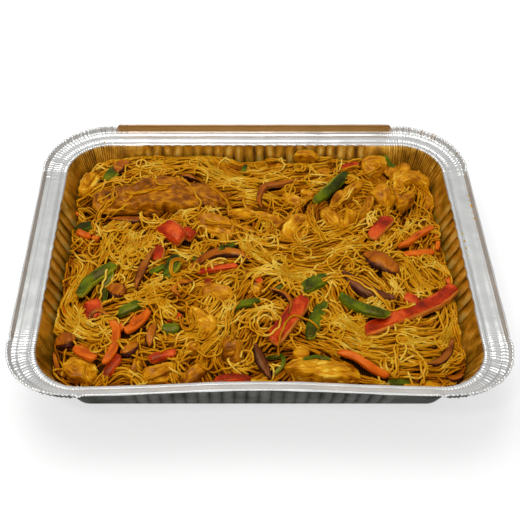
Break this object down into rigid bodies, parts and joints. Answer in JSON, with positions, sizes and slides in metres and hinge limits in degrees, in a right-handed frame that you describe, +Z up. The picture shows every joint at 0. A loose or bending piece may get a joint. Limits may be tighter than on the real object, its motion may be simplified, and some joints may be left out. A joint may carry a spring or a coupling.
{
  "type": "takeaway tray of curried rice noodles",
  "caption": "Open half-size aluminium foil tray filled with curried rice noodles, chicken strips, red and green pepper, carrot and red onion.",
  "frame": {"origin": "centre of the whole object's footprint, at the surface the tray stands on", "axes": "+X along the tray's long side, +Y from the bent front rim to the back, +Z up"},
  "size_m": [0.3218, 0.2586, 0.0634],
  "materials": {
    "foil": "thin pressed foil, bright and crimped at the corners",
    "noodle": "cooked rice noodles, yellow with curry and lightly oiled",
    "chicken": "stir-fried chicken, fibrous and coated with curry sauce",
    "red_pepper": "cooked red pepper, smooth oily skin",
    "green_pepper": "cooked green pepper, smooth oily skin",
    "carrot": "cooked carrot sticks, moist",
    "onion": "fried red onion, translucent brown with a purple rim"
  },
  "bodies": {
    "root": {"carrot_bent": "carrot", "carrot_curved": "carrot", "carrot_front": "carrot", "carrot_left": "carrot", "carrot_long": "carrot", "carrot_right": "carrot", "carrot_right_low": "carrot", "chicken_back_left": "chicken", "chicken_back_lobe": "chicken", "chicken_bright": "chicken", "chicken_centre": "chicken", "chicken_cube": "chicken", "chicken_curl": "chicken", "chicken_front_grey": "chicken", "chicken_front_left": "chicken", "chicken_front_slab": "chicken", "chicken_front_wedge": "chicken", "chicken_hook": "chicken", "chicken_left_chunk": "chicken", "chicken_long_strip": "chicken", "chicken_mid_strip": "chicken", "chicken_right_chunk": "chicken", "chicken_right_drop": "chicken", "chicken_right_slab": "chicken", "chicken_round": "chicken", "chicken_slab": "chicken", "chicken_under_onion": "chicken", "chicken_wedge": "chicken", "chicken_yellow": "chicken", "green_pepper_back": "green_pepper", "green_pepper_corner": "green_pepper", "green_pepper_drop": "green_pepper", "green_pepper_left": "green_pepper", "green_pepper_long": "green_pepper", "green_pepper_pod": "green_pepper", "green_pepper_side": "green_pepper", "green_pepper_tall": "green_pepper", "green_pepper_thin": "green_pepper", "green_pepper_wide": "green_pepper", "noodles": "noodle", "onion_arc": "onion", "onion_corner": "onion", "onion_crescent": "onion", "onion_hook": "onion", "onion_maroon": "onion", "onion_olive": "onion", "onion_pale": "onion", "onion_petal": "onion", "onion_purple": "onion", "onion_right": "onion", "onion_under_slab": "onion", "onion_upright": "onion", "red_pepper_broad": "red_pepper", "red_pepper_chunk": "red_pepper", "red_pepper_edge": "red_pepper", "red_pepper_front": "red_pepper", "red_pepper_long": "red_pepper", "red_pepper_short": "red_pepper", "red_pepper_triangle": "red_pepper", "tray": "foil"}
  },
  "joints": []
}
